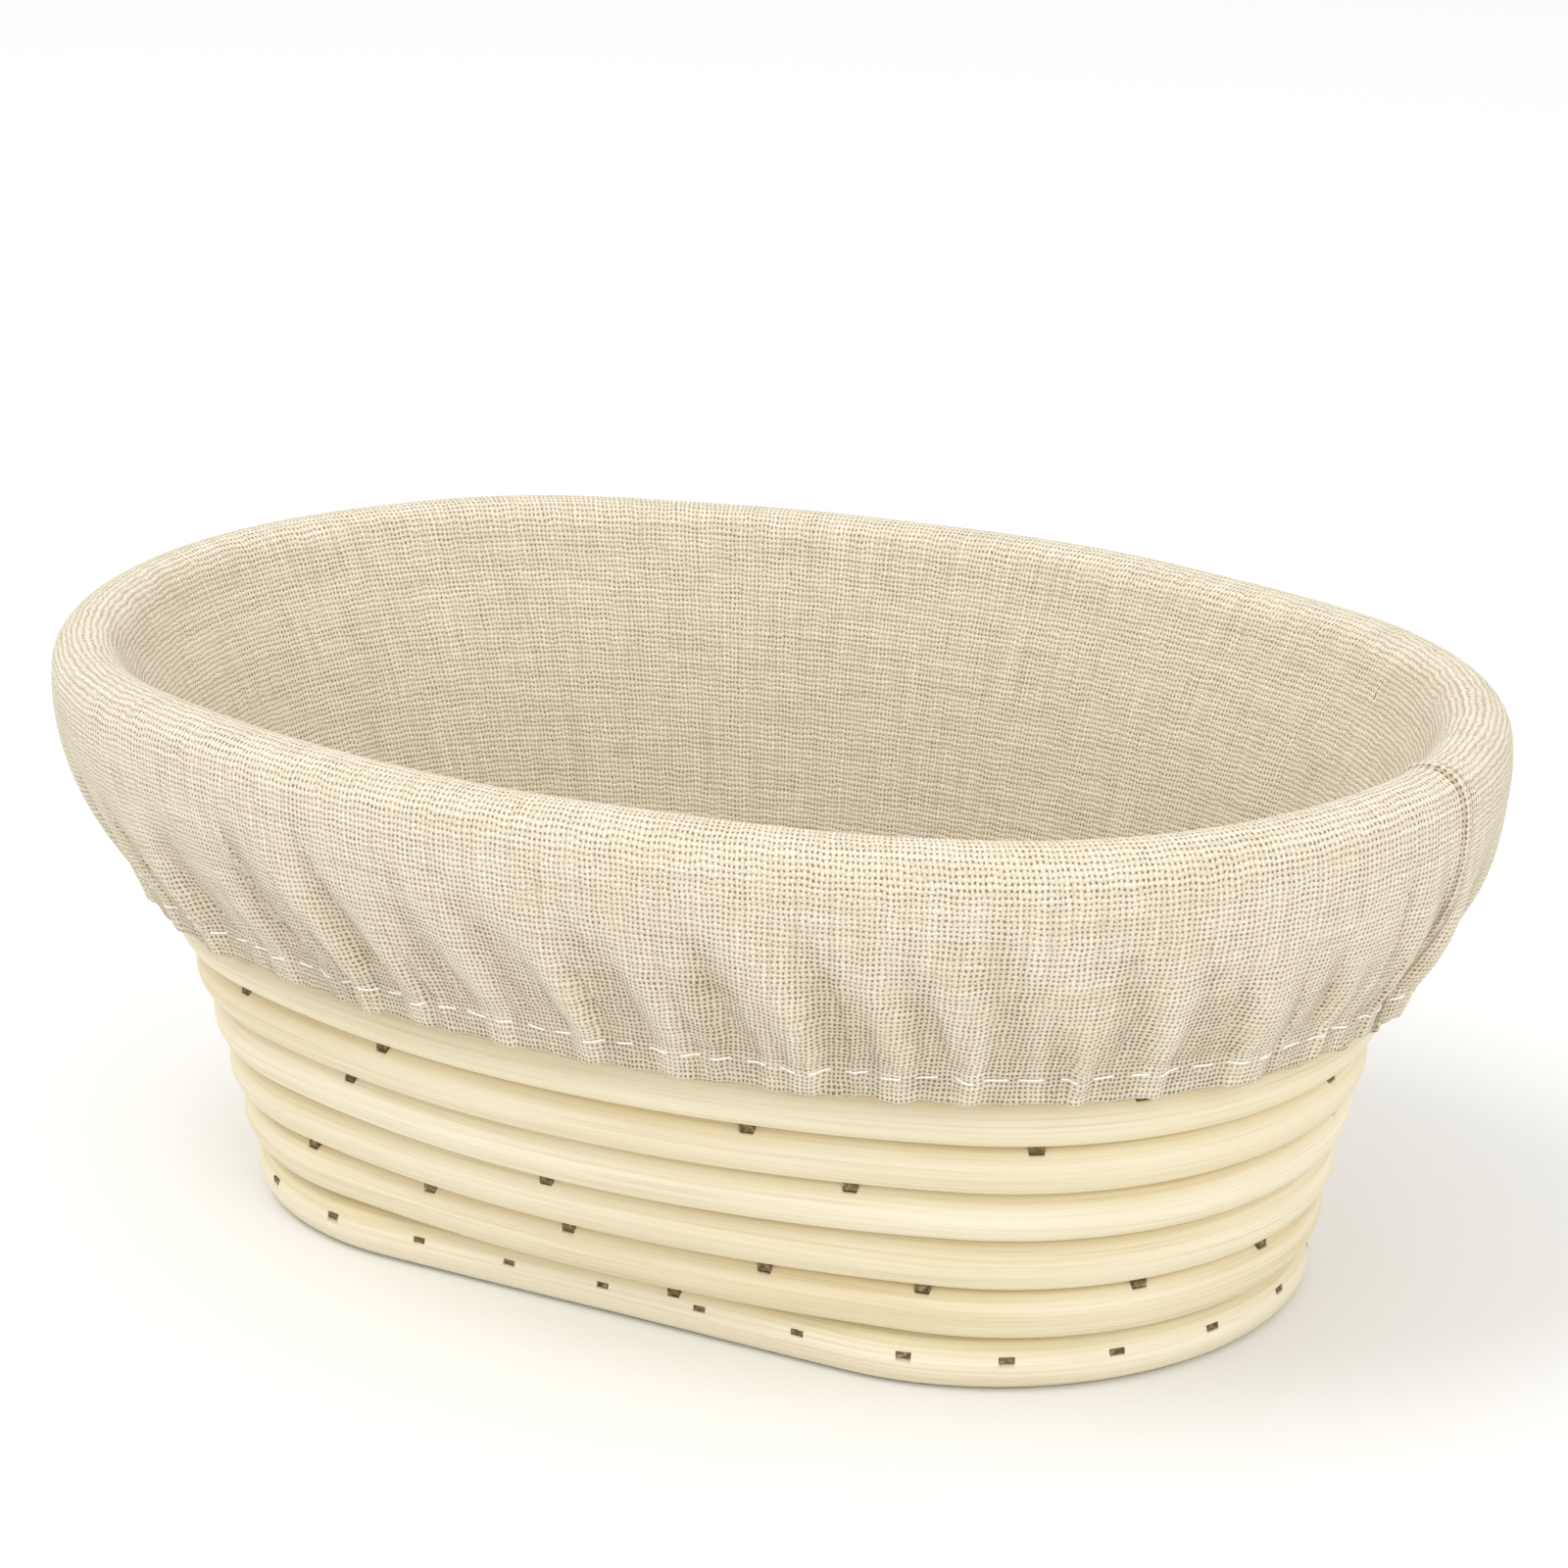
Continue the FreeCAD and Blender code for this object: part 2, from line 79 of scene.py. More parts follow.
def oval_points(oval, shares):
    """Points and ways out at shares of the way round, from the +X end towards +Y."""
    shares = np.asarray(shares, float) % 1.0
    quarter = np.floor(shares * 4).astype(int) % 4
    part = shares * 4 - np.floor(shares * 4)
    part = np.where(quarter % 2 == 1, 1 - part, part)
    if oval.bow < 1e-6:
        join = math.pi / 2
        side_length = oval.end_centre
    else:
        side_centre = (oval.end_centre**2 - oval.bow**2) / (2 * oval.bow)
        side_radius = oval.end_radius + oval.bow + side_centre
        join = math.atan2(side_centre, oval.end_centre)
        side_length = side_radius * (math.pi / 2 - join)
    end_length = oval.end_radius * join
    along = part * (end_length + side_length)
    turn = np.minimum(along, end_length) / oval.end_radius
    x = oval.end_centre + oval.end_radius * np.cos(turn)
    y = oval.end_radius * np.sin(turn)
    beyond = np.maximum(along - end_length, 0.0)
    on_side = along > end_length
    if oval.bow < 1e-6:
        x = np.where(on_side, oval.end_centre - beyond, x)
        y = np.where(on_side, oval.end_radius, y)
    else:
        side_turn = join + beyond / side_radius
        x = np.where(on_side, side_radius * np.cos(side_turn), x)
        y = np.where(on_side, side_radius * np.sin(side_turn) - side_centre, y)
        turn = np.where(on_side, side_turn, turn)
    sign_x = np.where((quarter == 1) | (quarter == 2), -1.0, 1.0)
    sign_y = np.where(quarter >= 2, -1.0, 1.0)
    points = np.stack([x * sign_x, y * sign_y, np.full_like(x, oval.height)], axis=-1)
    outwards = np.stack([np.cos(turn) * sign_x, np.sin(turn) * sign_y, np.zeros_like(x)], axis=-1)
    return points, outwards


def perimeter(oval):
    points, _outwards = oval_points(oval, np.linspace(0, 1, 721))
    return float(np.linalg.norm(np.diff(points, axis=0), axis=1).sum())


def grown(oval, outwards, upwards=0.0):
    return oval._replace(end_radius=oval.end_radius + outwards, height=oval.height + upwards)


def mixed(first, second, share):
    return Oval(*(a + (b - a) * share for a, b in zip(first, second)))


def mean_radius(oval):
    return (oval.end_centre + 2 * oval.end_radius + oval.bow) / 2


def oval_of_node(name, share, radius):
    """The centre line of a turn, read from the box of its CAD node. share is 1 at the rim."""
    low, high = node_box(name)
    semi_length = (high[0] - low[0]) / 2 - radius
    semi_width = (high[1] - low[1]) / 2 - radius
    bow = SIDE_BOW * (1 - (1 - share) ** BOW_GROWTH)
    end_radius = semi_width - bow
    return Oval(semi_length - end_radius, end_radius, bow, high[2] - radius)


NODES = sorted(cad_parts)
WALL = ["bottom_turn"] + [n for n in NODES if n.startswith("wall_turn")] + ["rim_turn"]
BASE = [n for n in NODES if n.startswith("base_turn")]
BRADS = [n for n in NODES if n.startswith("brads_")]

rim_low, rim_high = node_box("rim_turn")
CANE = (rim_high[2] - rim_low[2]) / 2
REACH = CANE + CLOTH_GAP
wall_ovals = [oval_of_node(n, i / (len(WALL) - 1), CANE) for i, n in enumerate(WALL)]
base_ovals = [oval_of_node(n, 0.0, CANE) for n in BASE]


def smooth(x, low, high):
    t = np.clip((x - low) / (high - low), 0.0, 1.0)
    return t * t * (3 - 2 * t)


def wave_noise(shares, seed, waves, longest=2):
    """A smooth uneven line round a closed turn, between about -1 and 1."""
    rng = np.random.default_rng(seed)
    total = np.zeros_like(shares)
    for k in range(waves):
        count = longest + k * 2 + rng.integers(0, 2)
        total += rng.normal() / (1 + 0.35 * k) * np.cos(2 * np.pi * (count * shares + rng.random()))
    return total / math.sqrt(waves)


# ---------------------------------------------------------------- mesh helpers


def grid_faces(rows, columns, closed):
    """Quads of a grid with rows lines of columns points, closed round the columns or open."""
    faces = []
    last = columns if closed else columns - 1
    for r in range(rows - 1):
        for c in range(last):
            d = (c + 1) % columns
            faces.append((r * columns + c, r * columns + d, (r + 1) * columns + d, (r + 1) * columns + c))
    return faces


def new_object(name, points, faces, material, smooth_shading=True):
    mesh = bpy.data.meshes.new(name)
    mesh.from_pydata([tuple(p) for p in points], [], faces)
    mesh.materials.append(material)
    if smooth_shading:
        mesh.shade_smooth()
    mesh.update()
    obj = bpy.data.objects.new(name, mesh)
    bpy.context.scene.collection.objects.link(obj)
    return obj


def store_vectors(obj, name, values):
    attribute = obj.data.attributes.new(name, "FLOAT_VECTOR", "POINT")
    attribute.data.foreach_set("vector", np.asarray(values, np.float32).ravel())


def store_numbers(obj, name, values):
    attribute = obj.data.attributes.new(name, "FLOAT", "POINT")
    attribute.data.foreach_set("value", np.asarray(values, np.float32).ravel())


# ---------------------------------------------------------------- material helpers


class Nodes:
    """A short way to write a node tree."""

    def __init__(self, name):
        self.material = bpy.data.materials.new(name)
        self.material.use_nodes = True
        self.tree = self.material.node_tree
        self.shader = self.tree.nodes["Principled BSDF"]

    def add(self, kind, **settings):
        node = self.tree.nodes.new(kind)
        for key, value in settings.items():
            setattr(node, key, value)
        return node

    def link(self, source, target):
        self.tree.links.new(source, target)

    def put(self, socket, value):
        if isinstance(value, bpy.types.NodeSocket):
            self.link(value, socket)
        else:
            socket.default_value = value

    def maths(self, operation, a, b=0.0, clamp=False):
        node = self.add("ShaderNodeMath", operation=operation, use_clamp=clamp)
        self.put(node.inputs[0], a)
        self.put(node.inputs[1], b)
        return node.outputs[0]

    def vector_maths(self, operation, a, b=(0.0, 0.0, 0.0)):
        node = self.add("ShaderNodeVectorMath", operation=operation)
        self.put(node.inputs[0], a)
        self.put(node.inputs[1], b)
        return node.outputs[0]

    def attribute(self, name, output="Vector"):
        return self.add("ShaderNodeAttribute", attribute_name=name).outputs[output]

    def noise(self, vector, scale=1.0, detail=3.0, roughness=0.5):
        node = self.add("ShaderNodeTexNoise")
        self.link(vector, node.inputs["Vector"])
        node.inputs["Scale"].default_value = scale
        node.inputs["Detail"].default_value = detail
        node.inputs["Roughness"].default_value = roughness
        return node.outputs["Fac"]

    def ramp(self, value, stops):
        node = self.add("ShaderNodeValToRGB")
        self.link(value, node.inputs["Fac"])
        elements = node.color_ramp.elements
        while len(elements) < len(stops):
            elements.new(0.5)
        for element, (place, colour) in zip(elements, stops):
            element.position = place
            element.color = (*colour, 1.0)
        return node.outputs["Color"]

    def mix(self, share, first, second, blend="MIX"):
        node = self.add("ShaderNodeMix", data_type="RGBA", blend_type=blend)
        self.put(node.inputs[0], share)
        self.put(node.inputs[6], first if isinstance(first, bpy.types.NodeSocket) else (*first, 1.0))
        self.put(node.inputs[7], second if isinstance(second, bpy.types.NodeSocket) else (*second, 1.0))
        return node.outputs[2]

    def bump(self, height, distance, strength=1.0):
        node = self.add("ShaderNodeBump")
        self.link(height, node.inputs["Height"])
        node.inputs["Distance"].default_value = distance
        node.inputs["Strength"].default_value = strength
        self.link(node.outputs["Normal"], self.shader.inputs["Normal"])


def srgb(red, green, blue):
    """A colour given as it shows on a screen, from 0 to 255, made linear."""
    channels = (c / 255 for c in (red, green, blue))
    return tuple(c / 12.92 if c <= 0.04045 else ((c + 0.055) / 1.055) ** 2.4 for c in channels)


# ---------------------------------------------------------------- materials


def cane_material():
    """Peeled round cane: fine fibres along it, painted shade that turns the upper shoulder yellower, a
    dry low sheen.
    """
    nodes = Nodes("cane")
    grain = nodes.attribute("grain")
    tint = nodes.attribute("tint", "Fac")
    # the shoulder attribute is painted shade: how far up each cane's section faces, under the turn above
    shoulder = nodes.attribute("shoulder", "Fac")
    mark = nodes.attribute("mark", "Fac")
    fibres = nodes.noise(nodes.vector_maths("MULTIPLY", grain, (28.0, 2600.0, 2600.0)), 1.0, 4.0, 0.6)
    streaks = nodes.noise(nodes.vector_maths("MULTIPLY", grain, (9.0, 520.0, 520.0)), 1.0, 3.0, 0.55)
    clouds = nodes.noise(nodes.vector_maths("MULTIPLY", grain, (22.0, 90.0, 90.0)), 1.0, 2.0, 0.5)
    pale = nodes.ramp(
        streaks,
        [(0.25, srgb(228, 217, 186)), (0.5, srgb(235, 226, 201)), (0.75, srgb(240, 232, 212))],
    )
    shaded_yellow = nodes.ramp(
        streaks,
        [(0.25, srgb(225, 211, 168)), (0.5, srgb(232, 220, 184)), (0.75, srgb(238, 227, 196))],
    )
    # painted shade: the upper shoulder is mixed towards a yellower colour, as if shaded by the cane and
    # cloth above
    colour = nodes.mix(shoulder, pale, shaded_yellow)
    fibre_tone = nodes.ramp(fibres, [(0.3, (0.80, 0.74, 0.62)), (0.55, (1.0, 1.0, 1.0))])
    colour = nodes.mix(0.55, colour, fibre_tone, "MULTIPLY")
    cloud_tone = nodes.ramp(clouds, [(0.3, (0.94, 0.90, 0.82)), (0.6, (1.0, 1.0, 1.0))])
    colour = nodes.mix(0.6, colour, cloud_tone, "MULTIPLY")
    tone = nodes.ramp(tint, [(0.0, (0.96, 0.93, 0.87)), (1.0, (1.0, 1.0, 1.0))])
    colour = nodes.mix(1.0, colour, tone, "MULTIPLY")
    colour = nodes.mix(nodes.maths("MULTIPLY", mark, 0.8), colour, srgb(104, 80, 40))
    nodes.link(colour, nodes.shader.inputs["Base Color"])
    rough = nodes.ramp(fibres, [(0.3, (0.62, 0.62, 0.62)), (0.7, (0.48, 0.48, 0.48))])
    nodes.link(rough, nodes.shader.inputs["Roughness"])
    nodes.shader.inputs["Specular IOR Level"].default_value = 0.35
    nodes.bump(fibres, 0.00006, 0.6)
    return nodes.material


def linen_material():
    """Coarse plain weave with slubs, small gaps between the threads, dark specks, and painted shade in
    the fold troughs and beside the seam.
    """
    nodes = Nodes("linen")
    weave = nodes.attribute("weave")
    trough_shade = nodes.attribute("trough_shade", "Fac")
    wander = nodes.add("ShaderNodeTexNoise")
    nodes.link(nodes.vector_maths("MULTIPLY", weave, (420.0, 420.0, 0.0)), wander.inputs["Vector"])
    wander.inputs["Scale"].default_value = 1.0
    wander.inputs["Detail"].default_value = 2.0
    offset = nodes.vector_maths("SUBTRACT", wander.outputs["Color"], (0.5, 0.5, 0.5))
    offset = nodes.vector_maths("MULTIPLY", offset, (1.25, 1.25, 0.0))
    threads = 1.0 / WEAVE_PITCH
    place = nodes.vector_maths("MULTIPLY", weave, (threads, threads, 0.0))
    place = nodes.vector_maths("ADD", place, offset)
    split = nodes.add("ShaderNodeSeparateXYZ")
    nodes.link(place, split.inputs[0])
    x, y = split.outputs[0], split.outputs[1]
    warp = nodes.maths("ABSOLUTE", nodes.maths("SINE", nodes.maths("MULTIPLY", x, math.pi)))
    weft = nodes.maths("ABSOLUTE", nodes.maths("SINE", nodes.maths("MULTIPLY", y, math.pi)))
    crossing = nodes.maths(
        "MULTIPLY",
        nodes.maths("SINE", nodes.maths("MULTIPLY", x, math.pi)),
        nodes.maths("SINE", nodes.maths("MULTIPLY", y, math.pi)),
    )
    warp_slub = nodes.noise(nodes.vector_maths("MULTIPLY", weave, (1450.0, 60.0, 0.0)), 1.0, 2.0)
    weft_slub = nodes.noise(nodes.vector_maths("MULTIPLY", weave, (60.0, 1450.0, 0.0)), 1.0, 2.0)
    patches = nodes.noise(nodes.vector_maths("MULTIPLY", weave, (300.0, 300.0, 0.0)), 1.0, 3.0)
    over = nodes.maths("ADD", nodes.maths("MULTIPLY", crossing, 0.5), 0.5)
    warp_height = nodes.maths("MULTIPLY", warp, nodes.maths("ADD", over, 0.35))
    weft_height = nodes.maths("MULTIPLY", weft, nodes.maths("SUBTRACT", 1.35, over))
    height = nodes.maths("MAXIMUM", warp_height, weft_height)
    gap = nodes.maths("MAXIMUM", warp, weft)
    gap_width = nodes.maths("ADD", nodes.maths("MULTIPLY", patches, 0.75), 0.12)
    # painted shade: the dark gaps between the threads widen in the troughs
    gap_width = nodes.maths("ADD", gap_width, nodes.maths("MULTIPLY", trough_shade, 0.22))
    hole = nodes.maths("SUBTRACT", gap_width, gap)
    hole = nodes.maths("MULTIPLY", hole, 3.2, clamp=True)
    thread_tone = nodes.maths("MULTIPLY", nodes.maths("ADD", warp_slub, weft_slub), 0.5)
    base = nodes.ramp(
        thread_tone,
        [(0.3, srgb(211, 200, 175)), (0.5, srgb(229, 218, 195)), (0.7, srgb(240, 232, 213))],
    )
    shade = nodes.ramp(height, [(0.25, (0.62, 0.57, 0.49)), (0.95, (1.0, 1.0, 1.0))])
    colour = nodes.mix(0.85, base, shade, "MULTIPLY")
    colour = nodes.mix(nodes.maths("MULTIPLY", hole, 0.85), colour, srgb(112, 92, 62))
    specks = nodes.noise(nodes.vector_maths("MULTIPLY", weave, (900.0, 380.0, 0.0)), 1.0, 1.0)
    speck = nodes.maths("MULTIPLY", nodes.maths("SUBTRACT", specks, 0.79), 14.0, clamp=True)
    colour = nodes.mix(speck, colour, srgb(120, 92, 58))
    # painted shade: the fold valleys and the line beside the seam are mixed darker
    colour = nodes.mix(nodes.maths("MULTIPLY", trough_shade, 0.25), colour, srgb(158, 138, 104))
    nodes.link(colour, nodes.shader.inputs["Base Color"])
    nodes.shader.inputs["Roughness"].default_value = 0.92
    nodes.shader.inputs["Specular IOR Level"].default_value = 0.15
    nodes.shader.inputs["Sheen Weight"].default_value = 0.12
    nodes.shader.inputs["Sheen Roughness"].default_value = 0.6
    nodes.bump(nodes.maths("SUBTRACT", height, hole), 0.00014, 0.9)
    return nodes.material


def thread_material():
    """Spun thread, with a twist."""
    nodes = Nodes("thread")
    coords = nodes.add("ShaderNodeTexCoord").outputs["Object"]
    fuzz = nodes.noise(nodes.vector_maths("MULTIPLY", coords, (2600.0, 2600.0, 2600.0)), 1.0, 3.0)
    colour = nodes.ramp(fuzz, [(0.3, srgb(240, 236, 224)), (0.7, srgb(255, 253, 247))])
    nodes.link(colour, nodes.shader.inputs["Base Color"])
    nodes.shader.inputs["Roughness"].default_value = 0.8
    nodes.shader.inputs["Specular IOR Level"].default_value = 0.25
    nodes.bump(fuzz, 0.00008, 0.7)
    return nodes.material


def brad_material():
    """Dull wire, stained brown where it sits in the cane."""
    nodes = Nodes("brad_steel")
    coords = nodes.add("ShaderNodeTexCoord").outputs["Object"]
    stain = nodes.noise(nodes.vector_maths("MULTIPLY", coords, (1400.0, 1400.0, 1400.0)), 1.0, 3.0)
    colour = nodes.ramp(
        stain,
        [(0.35, srgb(84, 66, 36)), (0.6, srgb(132, 112, 76)), (0.8, srgb(196, 186, 160))],
    )
    nodes.link(colour, nodes.shader.inputs["Base Color"])
    nodes.shader.inputs["Metallic"].default_value = 0.35
    rough = nodes.ramp(stain, [(0.3, (0.7, 0.7, 0.7)), (0.8, (0.4, 0.4, 0.4))])
    nodes.link(rough, nodes.shader.inputs["Roughness"])
    return nodes.material


def elastic_material():
    """Braided white elastic: fine ribs round the band, crossed by the braid."""
    nodes = Nodes("elastic")
    coords = nodes.add("ShaderNodeTexCoord").outputs["Object"]
    split = nodes.add("ShaderNodeSeparateXYZ")
    nodes.link(coords, split.inputs[0])
    ribs = nodes.maths("SINE", nodes.maths("MULTIPLY", split.outputs[2], 2 * math.pi / ELASTIC_RIB_PITCH))
    fuzz = nodes.noise(nodes.vector_maths("MULTIPLY", coords, (1800.0, 1800.0, 900.0)), 1.0, 2.0)
    height = nodes.maths("ADD", nodes.maths("MULTIPLY", ribs, 0.5), fuzz)
    colour = nodes.ramp(fuzz, [(0.3, srgb(214, 208, 196)), (0.7, srgb(244, 241, 233))])
    nodes.link(colour, nodes.shader.inputs["Base Color"])
    nodes.shader.inputs["Roughness"].default_value = 0.75
    nodes.bump(height, 0.0001, 0.7)
    return nodes.material


def floor_material():
    nodes = Nodes("floor")
    nodes.shader.inputs["Base Color"].default_value = (0.86, 0.86, 0.85, 1.0)
    nodes.shader.inputs["Roughness"].default_value = 0.9
    return nodes.material


cane_look = cane_material()
linen_look = linen_material()
thread_look = thread_material()
brad_look = brad_material()
elastic_look = elastic_material()


# ---------------------------------------------------------------- brads


def brad_heads(name):
    """The middle of each brad's head, read from its CAD node."""
    mesh = bmesh.new()
    mesh.from_mesh(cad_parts[name].data)
    bmesh.ops.remove_doubles(mesh, verts=mesh.verts, dist=0.001 * MM)
    mesh.verts.ensure_lookup_table()
    heads = []
    seen = set()
    for vertex in mesh.verts:
        if vertex.index in seen:
            continue
        island = []
        waiting = [vertex]
        seen.add(vertex.index)
        while waiting:
            here = waiting.pop()
            island.append(here.co[:])
            for edge in here.link_edges:
                other = edge.other_vert(here)
                if other.index not in seen:
                    seen.add(other.index)
                    waiting.append(other)
        points = np.array(island)
        middle = points.mean(axis=0)
        axis = np.linalg.svd(points - middle)[2][0]
        along = (points - middle) @ axis
        if along.max() > -along.min():
            along = -along
        heads.append(points[along > along.max() - 0.1 * MM].mean(axis=0))
    mesh.free()
    return heads


for brad_name in BRADS:
    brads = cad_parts[brad_name]
    brads.data.materials.clear()
    brads.data.materials.append(brad_look)


# ---------------------------------------------------------------- canes

POCKET_HALF_LENGTH = 0.86 * MM
POCKET_HALF_HEIGHT = 0.32 * MM
POCKET_EDGE = 0.12 * MM
POCKET_DEPTH = 0.5 * MM
STATION = 2.4 * MM
SIDES = 40
WORN_HEIGHT = 0.0
RIDGES = 9
CANE_SAG = 0.10 * MM
END_ROUNDING = 1.2 * MM


def nearest_share(oval, point):
    shares = np.arange(4800) / 4800
    line, _outwards = oval_points(oval, shares)
    return shares[np.argmin(np.linalg.norm(line[:, :2] - point[:2], axis=1))]


def pocket_places(oval, heads):
    """For each brad head sunk in a turn: its share of the way round and its angle there."""
    places = []
    for head in heads:
        share = nearest_share(oval, head)
        centre, outwards = oval_points(oval, [share])
        offset = head - centre[0]
        places.append((share, math.atan2(offset[2], float(offset @ outwards[0]))))
    return places


def stations_of(length, pockets, seam_share):
    """Shares along a turn: even steps, with closer ones at each pocket."""
    count = int(length / STATION)
    shares = [k / count for k in range(count + 1)]
    for share, _angle in pockets:
        from_seam = (share - seam_share) % 1.0
        for step in (-1.25, -1.12, -1.0, -0.55, 0.0, 0.55, 1.0, 1.12, 1.25):
            shares.append(from_seam + step * POCKET_HALF_LENGTH / length)
    shares = np.unique(np.round(np.clip(shares, 0, 1), 6))
    keep = np.concatenate([[True], np.diff(shares) > 0.05 * MM / length])
    return shares[keep]


def neighbour(oval, shares, other):
    """How far and in which direction another turn's centre line is from points on this one."""
    here, outwards = oval_points(oval, shares)
    fine = np.arange(2400) / 2400
    line, _out = oval_points(other, fine)
    gaps = np.linalg.norm(here[:, None, :2] - line[None, :, :2], axis=2)
    nearest = line[np.argmin(gaps, axis=1)]
    offset = nearest - here
    sideways = (offset * outwards).sum(axis=1)
    rise = offset[:, 2]
    return np.hypot(sideways, rise), np.arctan2(rise, sideways)


def ring_angles(shoulder_angle, side_angle):
    """Angles round the section, closer together at the rows of pockets."""
    angles = list(np.linspace(-math.pi, math.pi, SIDES, endpoint=False))
    for middle in (shoulder_angle, side_angle):
        if middle is None:
            continue
        half = POCKET_HALF_HEIGHT / CANE
        angles = [a for a in angles if abs(a - middle) > 1.6 * half]
        angles += [middle + step * half for step in (-1.25, -1.0, -0.5, 0.0, 0.5, 1.0, 1.25)]
    return np.array(sorted(angles))


def build_cane(name, oval, below, above, shoulder_heads, side_heads, seed, seam_share):
    """One turn of cane: an open tube whose two ends meet at seam_share."""
    length = perimeter(oval)
    shoulder = pocket_places(oval, shoulder_heads)
    side = pocket_places(oval, side_heads)
    local = stations_of(length, shoulder + side, seam_share)
    shares = (local + seam_share) % 1.0
    shoulder_angle = float(np.mean([a for _s, a in shoulder])) if shoulder else None
    side_angle = float(np.mean([a for _s, a in side])) if side else None
    angles = ring_angles(shoulder_angle, side_angle)
    rng = np.random.default_rng(seed)

    theta = np.broadcast_to(angles, (len(shares), len(angles))).copy()
    radius = np.full_like(theta, CANE)
    radius *= 1 + 0.006 * wave_noise(shares, seed, 6)[:, None]
    for other in (below, above):
        if other is None:
            continue
        gap, toward = neighbour(oval, shares, other)
        if other is above and shoulder_angle is not None:
            lean = np.mean(toward)
            weight = smooth(np.cos(theta - shoulder_angle), math.cos(0.9), math.cos(0.35))
            theta += (toward - lean)[:, None] * weight
        spare = np.clip(gap / 2 / CANE - 1, 0, 0.12)
        facing = np.clip(np.cos(theta - toward[:, None]), 0, 1) ** 3
        radius *= 1 + spare[:, None] * facing
    for ridge in range(RIDGES):
        place = rng.uniform(-math.pi, math.pi) + 0.15 * wave_noise(shares, seed + 40 + ridge, 3)
        near = np.exp(-(((theta - place[:, None] + math.pi) % (2 * math.pi) - math.pi) / 0.16) ** 2)
        radius -= rng.uniform(0.01, 0.05) * MM * near

    mark = np.zeros_like(theta)
    distance = local * length
    for share, angle in shoulder + side:
        along = ((share - seam_share) % 1.0) * length - distance
        across = (theta - angle) * CANE
        inside_length = 1 - smooth(np.abs(along), POCKET_HALF_LENGTH, POCKET_HALF_LENGTH + POCKET_EDGE)
        inside_height = 1 - smooth(np.abs(across), POCKET_HALF_HEIGHT, POCKET_HALF_HEIGHT + POCKET_EDGE)
        inside = inside_length[:, None] * inside_height
        radius -= POCKET_DEPTH * inside
        mark = np.maximum(mark, inside)

    centres, outwards = oval_points(oval, shares)
    sag = CANE_SAG * wave_noise(shares, seed + 7, 5)
    centres = centres + outwards * sag[:, None]
    points = (
        centres[:, None, :]
        + outwards[:, None, :] * (radius * np.cos(theta))[:, :, None]
        + UP * (radius * np.sin(theta))[:, :, None]
    )
    points[:, :, 2] = np.maximum(points[:, :, 2], WORN_HEIGHT)
    rows, columns = theta.shape
    faces = grid_faces(rows, columns, True)
    faces.append(tuple(range(columns)))
    faces.append(tuple(range((rows - 1) * columns, rows * columns))[::-1])
    obj = new_object(name, points.reshape(-1, 3), faces, cane_look)
    grain = np.stack(
        [
            np.broadcast_to((distance + seed * 1.37)[:, None], theta.shape),
            CANE * np.cos(theta) + seed * 0.11,
            CANE * np.sin(theta),
        ],
        axis=-1,
    )
    store_vectors(obj, "grain", grain.reshape(-1, 3))
    tint = 0.5 + 0.5 * np.sin(seed * 2.1) + 0.25 * wave_noise(shares, seed + 90, 4)
    store_numbers(obj, "tint", np.broadcast_to(np.clip(tint, 0, 1)[:, None], theta.shape))
    # painted shade: the upper half of the section is marked to be painted yellower, as if shaded under
    # the turn above
    painted_shoulder_shade = smooth(np.sin(theta), 0.25, 0.95) * 0.8
    store_numbers(obj, "shoulder", painted_shoulder_shade)
    store_numbers(obj, "mark", mark)
    return obj


def finish_cane(obj, node):
    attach(obj, "basket")
    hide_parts(node)


for index, node in enumerate(WALL):
    upper = WALL[index + 1] if index + 1 < len(WALL) else None
    shoulder_heads = brad_heads(f"brads_{upper}") if upper else []
    side_heads = brad_heads("brads_bottom_turn") if index == 0 else []
    cane = build_cane(
        f"{node}_cane",
        wall_ovals[index],
        wall_ovals[index - 1] if index else None,
        wall_ovals[index + 1] if upper else None,
        shoulder_heads,
        side_heads,
        seed=index + 1,
        seam_share=(0.25 + 0.017 * (index * 5 % 7)) % 1.0,
    )
    finish_cane(cane, node)

for index, node in enumerate(BASE):
    cane = build_cane(
        f"{node}_cane", base_ovals[index], None, None, [], [], seed=index + 31, seam_share=0.3
    )
    finish_cane(cane, node)


